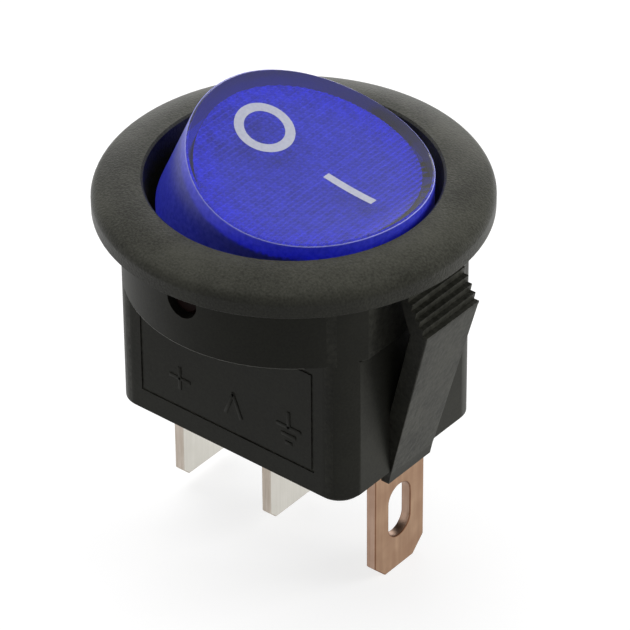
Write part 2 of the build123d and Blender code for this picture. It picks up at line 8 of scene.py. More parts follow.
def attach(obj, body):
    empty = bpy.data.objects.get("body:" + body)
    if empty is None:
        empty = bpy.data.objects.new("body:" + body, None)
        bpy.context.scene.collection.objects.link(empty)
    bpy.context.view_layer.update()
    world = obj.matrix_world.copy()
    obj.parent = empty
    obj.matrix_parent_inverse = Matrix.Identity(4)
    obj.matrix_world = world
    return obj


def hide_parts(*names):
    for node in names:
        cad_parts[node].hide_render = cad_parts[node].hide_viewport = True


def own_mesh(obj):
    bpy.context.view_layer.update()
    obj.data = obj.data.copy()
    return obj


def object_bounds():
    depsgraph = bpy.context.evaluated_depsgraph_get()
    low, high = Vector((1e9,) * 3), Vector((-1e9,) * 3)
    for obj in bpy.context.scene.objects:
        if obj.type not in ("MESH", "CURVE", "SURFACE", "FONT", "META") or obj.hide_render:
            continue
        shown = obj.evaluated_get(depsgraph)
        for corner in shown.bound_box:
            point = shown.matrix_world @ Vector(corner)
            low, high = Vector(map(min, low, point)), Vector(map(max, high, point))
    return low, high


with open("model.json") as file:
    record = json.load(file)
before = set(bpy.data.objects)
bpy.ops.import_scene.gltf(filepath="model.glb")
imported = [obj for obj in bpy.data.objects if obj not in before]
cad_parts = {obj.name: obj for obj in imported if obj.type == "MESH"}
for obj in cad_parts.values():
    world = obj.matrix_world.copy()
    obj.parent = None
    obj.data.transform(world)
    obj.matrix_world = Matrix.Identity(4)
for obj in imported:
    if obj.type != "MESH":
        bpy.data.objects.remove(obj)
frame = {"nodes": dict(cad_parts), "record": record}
cad_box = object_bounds()

# Lengths are in millimetres, and MM turns them to the metres of the frame
MM = 0.001

# The rocker, as its solid has it, in its own frame with the pivot at the origin
press_angle = math.radians(14)
rocker_height = 4.69
rocker_base_radius = 8.05
rocker_taper = math.radians(10.4)
rocker_hem_height = 0.3
rocker_wall = 0.7
rocker_top_thickness = 1.4
rocker_rim_bevel = 0.14
dish_radius = 22.4

# The housing, as its solid has it
skirt_radius = 9.9
skirt_depth = 4.6
body_depth = 14.25
body_face = -6.22
clip_inside = 8.65
clip_half_width = 2.4
clip_shoulder_depth = 3.35

# Between which distances from the middle the frame engraved on the long faces lies
engraved_frame = (6.05, 6.2)

# How near a face or an edge lies to the skirt's hem or the rocker's shell to count as part of it
hem_band = 0.12
hem_reach = 6.5
shell_skin = 0.3

# The painted highlight line on the rocker's rim, and the notched ribs under its roof
rim_line = 0.06
rim_line_share = 0.65
rib_pitch = 0.33
rib_height = 0.2
rib_notch_share = 0.4
rib_layer = 0.12
rib_margin = 0.03
rib_trim_corners = 128

# Rounding of moulded and stamped edges
nylon_edge = 0.08
strip_edge = 0.06
edge_segments = 2
merge_distance = 0.001

# Angles in degrees: what counts as flat, what counts as an edge, and up to where faces are shaded as one
flat_angle = 0.5
edge_angle = 35
smooth_angle = 30
rocker_smooth_angle = 25
wire_smooth_angle = 70

# Parts of a face's normal that tell the dish, the rim, an upright wall and a blade's sheared or worn edge
dish_limit = math.cos(math.radians(25))
rim_limit = math.sin(2 * rocker_taper)
upright_limit = 0.05
outward_limit = 0.9
sheared_limit = 0.5
worn_limits = (0.2, 0.98)

# The printed marks on the rocker's top, along it from the pivot
print_thickness = 0.02
ring_centre = -3.44
ring_radius = 1.84
ring_stroke = 0.6
ring_corners = 96
bar_stroke = 0.5
bar_start = 1.26
bar_end = 4.78
bar_cuts = 16

# The moulded signs on the long side, along X and Z
sign_rise = 0.05
sign_sink = 0.03
sign_stroke = 0.26
sign_edge = 0.05
plus_place = (-3.5, -10.5)
plus_size = 1.62
wedge_place = (0.5, -10.5)
wedge_size = (1.1, 1.4)
earth_place = (4.6, -10.23)
earth_bars = (1.83, 1.1, 0.55)
earth_pitch = 0.56
earth_stem = 0.95

# The camera, by the point that it looks at and its angles
camera_aim = Vector((3.40, -2.32, -5.11))
camera_azimuth = math.radians(39.36)
camera_elevation = math.radians(35.59)
camera_roll = math.radians(0.405)
camera_distance = 264.8
camera_lens = 267.03
camera_sensor = 36
camera_near = 10

# The floor's side, and where the studio's backdrop is brightest, as a direction
floor_side = 4000
glow_direction = (-0.627, 0.765, 0.14)

# The rocker's frame as the photo shows it, turned about the hinge of the record
joints = {joint["name"]: joint for joint in frame["record"]["behaviour"]["joints"]}
hinge = joints["rocker_swing"]
rocker_frame = Matrix.Translation(hinge["pos_m"]) @ Matrix.Rotation(press_angle, 4, "Y")
rocker_frame_inverse = rocker_frame.inverted()

# Finishes of faces, in the order of a piece's materials; the first of housing and blades is the plain
# one. The hem's pale finish and the rocker's rim are painted highlights, and the trunnions' near black is
# painted shade
SATIN, GRAINED, HEM_HIGHLIGHT = 1, 2, 3
DISH, SIDE, RIM, WALL, TRUNNION = 0, 1, 2, 3, 4
SHEARED, WORN = 1, 2

# Sockets of a Mix node of colours: its factor, its two colours and its result
FACTOR, FIRST, SECOND, MIXED = 0, 6, 7, 2


# Materials

def linear(colour):
    """A hex colour in sRGB as the linear RGBA that a shader socket takes."""
    channels = [int(colour[i:i + 2], 16) / 255 for i in (1, 3, 5)]
    return [c / 12.92 if c <= 0.04045 else ((c + 0.055) / 1.055) ** 2.4 for c in channels] + [1.0]


def add(tree, kind, inputs=None, **settings):
    """A node of that kind with its settings; each input is a value or the output that feeds it."""
    made = tree.nodes.new(kind)
    for name, value in settings.items():
        setattr(made, name, value)
    for name, value in (inputs or {}).items():
        if isinstance(value, bpy.types.NodeSocket):
            tree.links.new(value, made.inputs[name])
        else:
            made.inputs[name].default_value = value
    return made


def new_material(name):
    """An empty material with its output node."""
    material = bpy.data.materials.new(name)
    material.use_nodes = True
    material.node_tree.nodes.clear()
    output = material.node_tree.nodes.new("ShaderNodeOutputMaterial")
    return material, material.node_tree, output


def moulded_nylon(name, dark, light, grain, relief, gloss, roughness=0.5):
    """Black glass-filled nylon from a spark-eroded mould: a matt grain that greys where light grazes."""
    cloud_size = 3.0
    material, tree, output = new_material(name)
    place = add(tree, "ShaderNodeTexCoord").outputs["Object"]
    pits = add(tree, "ShaderNodeTexNoise", {"Vector": place, "Scale": 1 / (grain * MM), "Detail": 3.0})
    cloud = add(tree, "ShaderNodeTexNoise", {
        "Vector": place, "Scale": 1 / (cloud_size * MM), "Detail": 3.0})
    both = add(tree, "ShaderNodeMath", {0: pits.outputs["Fac"], 1: cloud.outputs["Fac"]}, operation="ADD")
    spread = add(tree, "ShaderNodeMapRange", {
        "Value": both.outputs[0], "From Min": 0.75, "From Max": 1.25})
    colour = add(tree, "ShaderNodeMix", {
        FACTOR: spread.outputs[0], FIRST: linear(dark), SECOND: linear(light)}, data_type="RGBA")
    bump = add(tree, "ShaderNodeBump", {
        "Height": pits.outputs["Fac"], "Strength": 0.5, "Distance": relief * MM})
    shader = add(tree, "ShaderNodeBsdfPrincipled", {
        "Base Color": colour.outputs[MIXED], "Roughness": roughness, "Specular IOR Level": gloss,
        "Normal": bump.outputs["Normal"]})
    tree.links.new(shader.outputs[0], output.inputs["Surface"])
    return material


def clear_blue(name, dark, light, inside, roughness, clarity):
    """Blue moulded polycarbonate: clear and tinted, milky where the tool was matt, with a painted shade
    colour on its inner faces.
    """
    flow_size = 0.25
    flow_relief = 0.02
    material, tree, output = new_material(name)
    place = add(tree, "ShaderNodeTexCoord").outputs["Object"]
    flow = add(tree, "ShaderNodeTexNoise", {
        "Vector": place, "Scale": 1 / (flow_size * MM), "Detail": 3.0})
    spread = add(tree, "ShaderNodeMapRange", {
        "Value": flow.outputs["Fac"], "From Min": 0.3, "From Max": 0.7})
    tint = add(tree, "ShaderNodeMix", {
        FACTOR: spread.outputs[0], FIRST: linear(dark), SECOND: linear(light)}, data_type="RGBA")
    # Faces seen from inside take the inside colour, which on the satin side is a dark grey violet painted
    # shade
    back = add(tree, "ShaderNodeNewGeometry").outputs["Backfacing"]
    colour = add(tree, "ShaderNodeMix", {
        FACTOR: back, FIRST: tint.outputs[MIXED], SECOND: linear(inside)}, data_type="RGBA")
    bump = add(tree, "ShaderNodeBump", {
        "Height": flow.outputs["Fac"], "Strength": 1 - clarity, "Distance": flow_relief * MM})
    glass = add(tree, "ShaderNodeBsdfPrincipled", {
        "Base Color": colour.outputs[MIXED], "Roughness": roughness, "IOR": 1.58,
        "Transmission Weight": clarity, "Normal": bump.outputs["Normal"]})
    passing = add(tree, "ShaderNodeBsdfTransparent", {"Color": linear("#b4b4ff")})
    ray = add(tree, "ShaderNodeLightPath")
    through = add(tree, "ShaderNodeMath", {
        0: ray.outputs["Is Shadow Ray"], 1: ray.outputs["Is Diffuse Ray"]}, operation="MAXIMUM")
    mixed = add(tree, "ShaderNodeMixShader", {
        0: through.outputs[0], 1: glass.outputs[0], 2: passing.outputs[0]})
    tree.links.new(mixed.outputs[0], output.inputs["Surface"])
    return material


def rim_highlight_blue():
    """The rocker's rim: a pale blue painted highlight along the line of its bevel."""
    cloud_size = 1.2
    material, tree, output = new_material("painted_highlight_blue_rim")
    place = add(tree, "ShaderNodeTexCoord").outputs["Object"]
    cloud = add(tree, "ShaderNodeTexNoise", {
        "Vector": place, "Scale": 1 / (cloud_size * MM), "Detail": 4.0})
    colour = add(tree, "ShaderNodeMix", {
        FACTOR: cloud.outputs["Fac"], FIRST: linear("#9a9ef0"), SECOND: linear("#b0b4f6")},
        data_type="RGBA")
    shader = add(tree, "ShaderNodeBsdfPrincipled", {
        "Base Color": colour.outputs[MIXED], "Roughness": 0.5, "Specular IOR Level": 0.1})
    tree.links.new(shader.outputs[0], output.inputs["Surface"])
    return material


def wall_blue():
    """The rocker's inner walls: a painted lit blue low down, and a painted shade of grey violet up under
    the rim.
    """
    cloud_size = 1.2
    material, tree, output = new_material("moulded_blue_wall")
    place = add(tree, "ShaderNodeTexCoord").outputs["Object"]
    upright = add(tree, "ShaderNodeMapping", {
        "Vector": place, "Location": rocker_frame.translation, "Rotation": (0, press_angle, 0),
        "Scale": [rocker_height * MM] * 3}, vector_type="TEXTURE")
    height = add(tree, "ShaderNodeSeparateXYZ", {"Vector": upright.outputs[0]}).outputs["Z"]
    # Higher up the wall the colour turns from the painted lit blue to the painted shaded grey violet
    shade_rise = add(tree, "ShaderNodeMapRange", {"Value": height, "From Min": 0.45, "From Max": 0.75})
    cloud = add(tree, "ShaderNodeTexNoise", {
        "Vector": place, "Scale": 1 / (cloud_size * MM), "Detail": 4.0})
    lit = add(tree, "ShaderNodeMix", {
        FACTOR: cloud.outputs["Fac"], FIRST: linear("#1c2ca0"), SECOND: linear("#3044d0")},
        data_type="RGBA")
    shaded = add(tree, "ShaderNodeMix", {
        FACTOR: cloud.outputs["Fac"], FIRST: linear("#2c2a44"), SECOND: linear("#403c5c")},
        data_type="RGBA")
    colour = add(tree, "ShaderNodeMix", {
        FACTOR: shade_rise.outputs[0], FIRST: lit.outputs[MIXED], SECOND: shaded.outputs[MIXED]},
        data_type="RGBA")
    shader = add(tree, "ShaderNodeBsdfPrincipled", {
        "Base Color": colour.outputs[MIXED], "Roughness": 0.5, "Specular IOR Level": 0.1})
    tree.links.new(shader.outputs[0], output.inputs["Surface"])
    return material


def ribbed_blue():
    """The ribbed roof seen through the rocker's top: milky in the middle, a purer blue near the walls."""
    cloud_size = 0.5
    material, tree, output = new_material("ribbed_blue_roof")
    place = add(tree, "ShaderNodeTexCoord").outputs["Object"]
    centred = add(tree, "ShaderNodeMapping", {
        "Vector": place, "Location": rocker_frame @ Vector((0, 0, rocker_height * MM)),
        "Scale": [rocker_base_radius * MM] * 3}, vector_type="TEXTURE")
    inward = add(tree, "ShaderNodeTexGradient", {"Vector": centred.outputs[0]}, gradient_type="SPHERICAL")
    milk = add(tree, "ShaderNodeMapRange", {
        "Value": inward.outputs["Fac"], "From Min": 0.15, "From Max": 0.4})
    cloud = add(tree, "ShaderNodeTexNoise", {
        "Vector": place, "Scale": 1 / (cloud_size * MM), "Detail": 3.0})
    spread = add(tree, "ShaderNodeMapRange", {
        "Value": cloud.outputs["Fac"], "From Min": 0.35, "From Max": 0.65})
    pure = add(tree, "ShaderNodeMix", {
        FACTOR: spread.outputs[0], FIRST: linear("#2a38c8"), SECOND: linear("#3c4aec")},
        data_type="RGBA")
    milky = add(tree, "ShaderNodeMix", {
        FACTOR: spread.outputs[0], FIRST: linear("#5060c0"), SECOND: linear("#6272d8")},
        data_type="RGBA")
    colour = add(tree, "ShaderNodeMix", {
        FACTOR: milk.outputs[0], FIRST: pure.outputs[MIXED], SECOND: milky.outputs[MIXED]},
        data_type="RGBA")
    shader = add(tree, "ShaderNodeBsdfPrincipled", {
        "Base Color": colour.outputs[MIXED], "Roughness": 0.4, "Specular IOR Level": 0.2})
    tree.links.new(shader.outputs[0], output.inputs["Surface"])
    return material


def trunnion_shade():
    """The trunnions painted nearly black with a brown cast, as painted shade deep in their holes, and
    with little sheen.
    """
    blotch_size = 0.4
    material, tree, output = new_material("painted_shade_brown_trunnion")
    place = add(tree, "ShaderNodeTexCoord").outputs["Object"]
    blotch = add(tree, "ShaderNodeTexNoise", {
        "Vector": place, "Scale": 1 / (blotch_size * MM), "Detail": 3.0})
    # Nearly black colours that paint the shade in the trunnions' holes
    colour = add(tree, "ShaderNodeMix", {
        FACTOR: blotch.outputs["Fac"], FIRST: linear("#0a0403"), SECOND: linear("#1a0a08")},
        data_type="RGBA")
    shader = add(tree, "ShaderNodeBsdfPrincipled", {
        "Base Color": colour.outputs[MIXED], "Roughness": 0.6, "Specular IOR Level": 0.05})
    tree.links.new(shader.outputs[0], output.inputs["Surface"])
    return material


def print_ink():
    """Pad-printed white ink, thin enough for the blue to cool it."""
    speckle_size = 0.2
    material, tree, output = new_material("printed_white_ink")
    place = add(tree, "ShaderNodeTexCoord").outputs["Object"]
    speckle = add(tree, "ShaderNodeTexNoise", {
        "Vector": place, "Scale": 1 / (speckle_size * MM), "Detail": 2.0})
    colour = add(tree, "ShaderNodeMix", {
        FACTOR: speckle.outputs["Fac"], FIRST: linear("#a9acc0"), SECOND: linear("#c6c9d6")},
        data_type="RGBA")
    shader = add(tree, "ShaderNodeBsdfPrincipled", {
        "Base Color": colour.outputs[MIXED], "Roughness": 0.4})
    tree.links.new(shader.outputs[0], output.inputs["Surface"])
    return material


def rolled_metal(name, dark, light, streak, roughness):
    """Strip metal or wire, rolled or drawn: streaks along it and an uneven sheen."""
    # Real streaks are finer than a pixel, so they are drawn as wide as they need to show
    streak_squash = 0.06
    cloud_size = 1.6
    sheen_spread = 0.08
    streak_relief = 0.01
    material, tree, output = new_material(name)
    place = add(tree, "ShaderNodeTexCoord").outputs["Object"]
    along = add(tree, "ShaderNodeMapping", {"Vector": place, "Scale": (1, 1, streak_squash)})
    streaks = add(tree, "ShaderNodeTexNoise", {
        "Vector": along.outputs[0], "Scale": 1 / (streak * MM), "Detail": 4.0})
    cloud = add(tree, "ShaderNodeTexNoise", {
        "Vector": place, "Scale": 1 / (cloud_size * MM), "Detail": 3.0})
    both = add(tree, "ShaderNodeMath", {
        0: streaks.outputs["Fac"], 1: cloud.outputs["Fac"]}, operation="MULTIPLY")
    lifted = add(tree, "ShaderNodeMapRange", {
        "Value": both.outputs[0], "From Min": 0.12, "From Max": 0.42})
    colour = add(tree, "ShaderNodeMix", {
        FACTOR: lifted.outputs[0], FIRST: linear(dark), SECOND: linear(light)}, data_type="RGBA")
    rough = add(tree, "ShaderNodeMapRange", {
        "Value": cloud.outputs["Fac"], "To Min": roughness - sheen_spread,
        "To Max": roughness + sheen_spread})
    bump = add(tree, "ShaderNodeBump", {
        "Height": streaks.outputs["Fac"], "Strength": 0.2, "Distance": streak_relief * MM})
    shader = add(tree, "ShaderNodeBsdfPrincipled", {
        "Base Color": colour.outputs[MIXED], "Metallic": 1.0, "Roughness": rough.outputs[0],
        "Normal": bump.outputs["Normal"]})
    tree.links.new(shader.outputs[0], output.inputs["Surface"])
    return material


def clear_resin():
    """Cast epoxy lens of the lamp: nearly clear, with a soft milkiness."""
    haze_size = 0.8
    material, tree, output = new_material("cast_lamp_resin")
    place = add(tree, "ShaderNodeTexCoord").outputs["Object"]
    haze = add(tree, "ShaderNodeTexNoise", {
        "Vector": place, "Scale": 1 / (haze_size * MM), "Detail": 2.0})
    rough = add(tree, "ShaderNodeMapRange", {"Value": haze.outputs["Fac"], "To Min": 0.05, "To Max": 0.2})
    shader = add(tree, "ShaderNodeBsdfPrincipled", {
        "Base Color": linear("#dfe6f5"), "Roughness": rough.outputs[0], "IOR": 1.54,
        "Transmission Weight": 0.6})
    tree.links.new(shader.outputs[0], output.inputs["Surface"])
    return material


def lacquer():
    """Dipped resistor lacquer: tan, glossy and a little uneven."""
    cloud_size = 0.9
    material, tree, output = new_material("dipped_tan_lacquer")
    place = add(tree, "ShaderNodeTexCoord").outputs["Object"]
    cloud = add(tree, "ShaderNodeTexNoise", {
        "Vector": place, "Scale": 1 / (cloud_size * MM), "Detail": 3.0})
    colour = add(tree, "ShaderNodeMix", {
        FACTOR: cloud.outputs["Fac"], FIRST: linear("#b08a5c"), SECOND: linear("#cfab7a")},
        data_type="RGBA")
    shader = add(tree, "ShaderNodeBsdfPrincipled", {
        "Base Color": colour.outputs[MIXED], "Roughness": 0.25})
    tree.links.new(shader.outputs[0], output.inputs["Surface"])
    return material


# Pieces

def select_only(piece):
    """Makes one piece the only selected and active one."""
    bpy.ops.object.select_all(action="DESELECT")
    piece.select_set(True)
    bpy.context.view_layer.objects.active = piece


def apply_modifier(piece, kind, **settings):
    """Adds a modifier with its settings and applies it."""
    modifier = piece.modifiers.new(kind.lower(), kind)
    for name, value in settings.items():
        setattr(modifier, name, value)
    bpy.ops.object.modifier_apply(modifier=modifier.name)


def middle_of(piece, edge):
    """The middle of an edge, in millimetres."""
    first, second = (piece.data.vertices[end].co for end in edge.vertices)
    return (first + second) / 2 / MM


def housing_edge(point):
    """Whether a point is on an edge of the housing that is rounded: the skirt's hem or a clip's slant."""
    radius = math.hypot(point.x, point.y)
    on_hem = abs(point.z + skirt_depth) < hem_band and abs(radius - skirt_radius) < hem_band
    on_clip = abs(point.x) > clip_inside and abs(point.y) < clip_half_width
    return on_hem or (on_clip and point.z < -clip_shoulder_depth)


def below_body(point):
    """Whether a point is on a blade's stretch below the body."""
    return point.z < -body_depth


def round_edges(piece, edge_round, rounded):
    """Rounds the hard edges of a piece in edit mode whose middles the function picks."""
    bpy.ops.mesh.dissolve_limited(angle_limit=math.radians(flat_angle))
    bpy.ops.mesh.select_mode(type="EDGE")
    bpy.ops.mesh.select_all(action="DESELECT")
    bpy.ops.mesh.edges_select_sharp(sharpness=math.radians(edge_angle))
    bpy.ops.object.mode_set(mode="OBJECT")
    chosen = [edge.index for edge in piece.data.edges if edge.select and rounded(middle_of(piece, edge))]
    # A corner that stays selected would take its edges with it, so everything is cleared first
    bpy.ops.object.mode_set(mode="EDIT")
    bpy.ops.mesh.select_all(action="DESELECT")
    bpy.ops.object.mode_set(mode="OBJECT")
    for index in chosen:
        piece.data.edges[index].select = True
    bpy.ops.object.mode_set(mode="EDIT")
    bpy.ops.mesh.bevel(offset=edge_round * MM, segments=edge_segments, affect="EDGES")
    bpy.ops.mesh.select_mode(type="FACE")
    bpy.ops.mesh.select_all(action="SELECT")
    bpy.ops.mesh.remove_doubles(threshold=merge_distance * MM)
    bpy.ops.mesh.dissolve_degenerate(threshold=merge_distance * MM)


def finished(node, body, material, smooth=smooth_angle, edge_round=0, rounded=None):
    """A smoothly shaded copy of a CAD node in its place, with the edges rounded that a function picks."""
    piece = bpy.data.objects.new(node + "_skin", frame["nodes"][node].data.copy())
    bpy.context.scene.collection.objects.link(piece)
    select_only(piece)
    bpy.ops.object.mode_set(mode="EDIT")
    bpy.ops.mesh.select_all(action="SELECT")
    bpy.ops.mesh.remove_doubles(threshold=merge_distance * MM)
    bpy.ops.mesh.customdata_custom_splitnormals_clear()
    if rounded:
        round_edges(piece, edge_round, rounded)
    bpy.ops.object.mode_set(mode="OBJECT")
    bpy.ops.object.shade_smooth_by_angle(angle=math.radians(smooth))
    apply_modifier(piece, "WEIGHTED_NORMAL", keep_sharp=True)
    piece.data.materials.clear()
    piece.data.materials.append(material)
    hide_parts(node)
    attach(piece, body)
    return piece


def shade_exactly(piece, exact_normal):
    """Gives the corners of faces the normal of the true surface, where the function knows it."""
    normals = [Vector(n.vector) for n in piece.data.corner_normals]
    for face in piece.data.polygons:
        for loop in face.loop_indices:
            corner = piece.data.vertices[piece.data.loops[loop].vertex_index].co
            normals[loop] = exact_normal(face, corner) or normals[loop]
    piece.data.normals_split_custom_set(normals)


def skirt_normal(face, corner):
    """The normal of the round skirt at a corner of one of its upright faces."""
    off_round = abs(math.hypot(corner.x, corner.y) / MM - skirt_radius)
    if abs(face.normal.z) > upright_limit or off_round > hem_band:
        return None
    radial = Vector((corner.x, corner.y, 0)).normalized()
    return radial if radial.dot(face.normal) > outward_limit else None


def make_housing(plain, satin, grained, hem_highlight):
    """The housing: plain walls, a satin bezel, grained clips and engraved frames, and a hem edge painted
    pale as a highlight.
    """
    piece = finished("housing", "housing", plain,
                     edge_round=nylon_edge, rounded=housing_edge)
    for material in (satin, grained, hem_highlight):
        piece.data.materials.append(material)
    for face in piece.data.polygons:
        centre = face.center / MM
        on_clip = abs(centre.x) > clip_inside and abs(centre.y) < clip_half_width
        on_hem = abs(centre.z + skirt_depth) < hem_band < abs(face.normal.z) and abs(centre.x) < hem_reach
        if centre.z > 0:
            face.material_index = SATIN
        elif on_clip or engraved_frame[0] < abs(centre.y) < engraved_frame[1]:
            face.material_index = GRAINED
        # The front of the skirt's rounded hem is painted pale, as a painted highlight
        elif on_hem and math.hypot(centre.x, centre.y) > skirt_radius - hem_band:
            face.material_index = HEM_HIGHLIGHT
    shade_exactly(piece, skirt_normal)


def dish_height(along, depth=0):
    """The height of the rocker's dish at a place along it, or of a roof that lies so much deeper."""
    return rocker_height + dish_radius - math.sqrt((dish_radius + depth)**2 - along**2)


def on_rim(face):
    """Whether a face is on the small bevel between the rocker's dish and its side."""
    centre = rocker_frame_inverse @ face.center / MM
    upward = (rocker_frame_inverse.to_3x3() @ face.normal).z
    return centre.z > dish_height(centre.x) - rocker_rim_bevel and rim_limit < upward < dish_limit


def rocker_finish(face):
    """Which finish a face of the rocker has, by its place and normal."""
    centre = rocker_frame_inverse @ face.center / MM
    normal = rocker_frame_inverse.to_3x3() @ face.normal
    outward = normal.x * centre.x + normal.y * centre.y
    radius = math.hypot(centre.x, centre.y)
    side = rocker_base_radius - (centre.z - rocker_hem_height) * math.tan(rocker_taper)
    below_dish = dish_height(centre.x) - centre.z
    if abs(centre.y) > rocker_base_radius:
        return TRUNNION
    if on_rim(face):
        return RIM if below_dish > rocker_rim_bevel - rim_line * rim_line_share else DISH
    if below_dish < rocker_rim_bevel and normal.z > dish_limit:
        return DISH
    if abs(radius - side) < shell_skin and outward > 0 and centre.z > rocker_hem_height:
        return SIDE
    return WALL


def rocker_normal(face, corner):
    """The normal of the rocker's dish or tapered side at a corner of a face."""
    local = rocker_frame_inverse @ corner / MM
    upward = (rocker_frame_inverse.to_3x3() @ face.normal).z
    if face.material_index == DISH and upward > dish_limit:
        exact = Vector((-local.x, 0, rocker_height + dish_radius - local.z))
    elif face.material_index == SIDE:
        exact = Vector((local.x, local.y, math.tan(rocker_taper) * math.hypot(local.x, local.y)))
    else:
        return face.normal if face.material_index in (DISH, RIM) else None
    return (rocker_frame.to_3x3() @ exact).normalized()


def make_rocker(dish, side, rim, wall, trunnion):
    """The rocker: a polished dish, a satin side, a pale line on its rim painted as a highlight, inner
    walls painted lit and shaded, and trunnions painted dark as shade.
    """
    piece = finished("rocker", "rocker", dish, rocker_smooth_angle)
    for material in (side, rim, wall, trunnion):
        piece.data.materials.append(material)
    bpy.ops.object.mode_set(mode="EDIT")
    bpy.ops.mesh.select_all(action="DESELECT")
    bpy.ops.object.mode_set(mode="OBJECT")
    for face in piece.data.polygons:
        face.select = on_rim(face)
    bpy.ops.object.mode_set(mode="EDIT")
    bpy.ops.mesh.inset(thickness=rim_line * MM)
    bpy.ops.object.mode_set(mode="OBJECT")
    for face in piece.data.polygons:
        face.material_index = rocker_finish(face)
    shade_exactly(piece, rocker_normal)
    return piece


def make_blade(node, face_metal, edge_metal, worn_metal):
    """A blade terminal, with the base metal showing on its sheared edges and their rounding worn."""
    piece = finished(node, "housing", face_metal, edge_round=strip_edge, rounded=below_body)
    piece.data.materials.append(edge_metal)
    piece.data.materials.append(worn_metal)
    for face in piece.data.polygons:
        below = below_body(face.center / MM)
        if below and worn_limits[0] < abs(face.normal.x) < worn_limits[1]:
            face.material_index = WORN
        elif abs(face.normal.y) > sheared_limit or (below and abs(face.normal.x) < sheared_limit):
            face.material_index = SHEARED


def make_ribs(ribbed):
    """The fine notched ribs across the underside of the rocker's roof, trimmed by its inner wall."""
    inner_base = rocker_base_radius - rocker_wall - rib_margin
    inner_top = inner_base - rocker_height * math.tan(rocker_taper)
    half_pitches = 2 * round(2 * inner_base / rib_pitch)
    step = 2 * inner_base / half_pitches
    bpy.ops.object.select_all(action="DESELECT")
    bpy.ops.mesh.primitive_grid_add(x_subdivisions=half_pitches, y_subdivisions=half_pitches,
                                    size=2 * inner_base * MM)
    piece = bpy.context.object
    piece.name = "rocker_ribs"
    for vertex in piece.data.vertices:
        along = vertex.co.x / MM
        crest = round((along + inner_base) / step) % 2
        notch = round((vertex.co.y / MM + inner_base) / step) % 2
        rise = crest * rib_height * (1 - notch * rib_notch_share)
        vertex.co.z = (dish_height(along, rocker_top_thickness) + rise + rib_margin) * MM
    apply_modifier(piece, "SOLIDIFY", thickness=rib_layer * MM, offset=-1)
    bpy.ops.mesh.primitive_cone_add(
        vertices=rib_trim_corners, radius1=inner_base * MM, radius2=inner_top * MM,
        depth=rocker_height * MM, location=(0, 0, (rocker_hem_height + rocker_height / 2) * MM))
    cutter = bpy.context.object
    select_only(piece)
    apply_modifier(piece, "BOOLEAN", operation="INTERSECT", object=cutter, solver="EXACT")
    bpy.data.objects.remove(cutter)
    piece.data.transform(rocker_frame)
    piece.data.materials.clear()
    piece.data.materials.append(ribbed)
    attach(piece, "rocker")


def make_springs(steel):
    """The two coil springs; the plunger's own gets a mesh of its own."""
    finished("ground_spring", "housing", steel, wire_smooth_angle)
    piece = finished("plunger_spring", "rocker", steel, wire_smooth_angle)
    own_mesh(piece)


def print_on(piece, rocker, name, ink):
    """Lays a flat mark, drawn in the rocker's own frame, on the dished top as a thin film."""
    piece.name = name
    piece.data.transform(rocker_frame)
    select_only(piece)
    apply_modifier(piece, "SHRINKWRAP", target=rocker, wrap_method="NEAREST_SURFACEPOINT",
                   offset=print_thickness * MM / 2)
    apply_modifier(piece, "SOLIDIFY", thickness=print_thickness * MM, offset=1)
    piece.data.materials.append(ink)
    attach(piece, "rocker")


def make_marks(rocker, ink):
    """The ring at the off end and the bar at the on end."""
    top = rocker_height * MM
    bpy.ops.object.select_all(action="DESELECT")
    bpy.ops.mesh.primitive_circle_add(vertices=ring_corners, radius=ring_radius * MM, fill_type="NGON",
                                      location=(ring_centre * MM, 0, top))
    ring = bpy.context.object
    bpy.ops.object.transform_apply()
    bpy.ops.object.mode_set(mode="EDIT")
    bpy.ops.mesh.select_all(action="SELECT")
    bpy.ops.mesh.inset(thickness=ring_stroke * MM)
    bpy.ops.mesh.delete(type="FACE")
    bpy.ops.object.mode_set(mode="OBJECT")
    print_on(ring, rocker, "off_mark", ink)
    bpy.ops.object.select_all(action="DESELECT")
    bpy.ops.mesh.primitive_plane_add(size=1, location=((bar_start + bar_end) / 2 * MM, 0, top))
    bar = bpy.context.object
    bar.scale = ((bar_end - bar_start) * MM, bar_stroke * MM, 1)
    bpy.ops.object.transform_apply()
    bpy.ops.object.mode_set(mode="EDIT")
    bpy.ops.mesh.select_all(action="SELECT")
    bpy.ops.mesh.subdivide(number_cuts=bar_cuts)
    bpy.ops.object.mode_set(mode="OBJECT")
    print_on(bar, rocker, "on_mark", ink)


def stroke(start_place, end_place):
    """One straight stroke of a moulded sign on the long side, between two places along X and Z."""
    run = Vector((end_place[0] - start_place[0], 0, end_place[1] - start_place[1]))
    middle = Vector(((start_place[0] + end_place[0]) / 2, body_face - (sign_rise - sign_sink) / 2,
                     (start_place[1] + end_place[1]) / 2))
    bpy.ops.object.select_all(action="DESELECT")
    bpy.ops.mesh.primitive_cube_add(size=1, location=middle * MM,
                                    rotation=(0, -math.atan2(run.z, run.x), 0))
    bar = bpy.context.object
    bar.scale = Vector((run.length + sign_stroke, sign_rise + sign_sink, sign_stroke)) * MM
    bpy.ops.object.transform_apply()
    bpy.ops.object.mode_set(mode="EDIT")
    bpy.ops.mesh.select_all(action="SELECT")
    bpy.ops.mesh.bevel(offset=sign_edge * MM, segments=edge_segments, affect="EDGES")
    bpy.ops.object.mode_set(mode="OBJECT")
    return bar


def make_sign(name, strokes, nylon):
    """A sign moulded on the long side out of straight strokes."""
    bars = [stroke(*ends) for ends in strokes]
    bpy.ops.object.select_all(action="DESELECT")
    for bar in bars:
        bar.select_set(True)
    bpy.context.view_layer.objects.active = bars[0]
    bpy.ops.object.join()
    sign = bpy.context.object
    sign.name = name
    bpy.ops.object.shade_smooth_by_angle(angle=math.radians(smooth_angle))
    sign.data.materials.append(nylon)
    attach(sign, "housing")


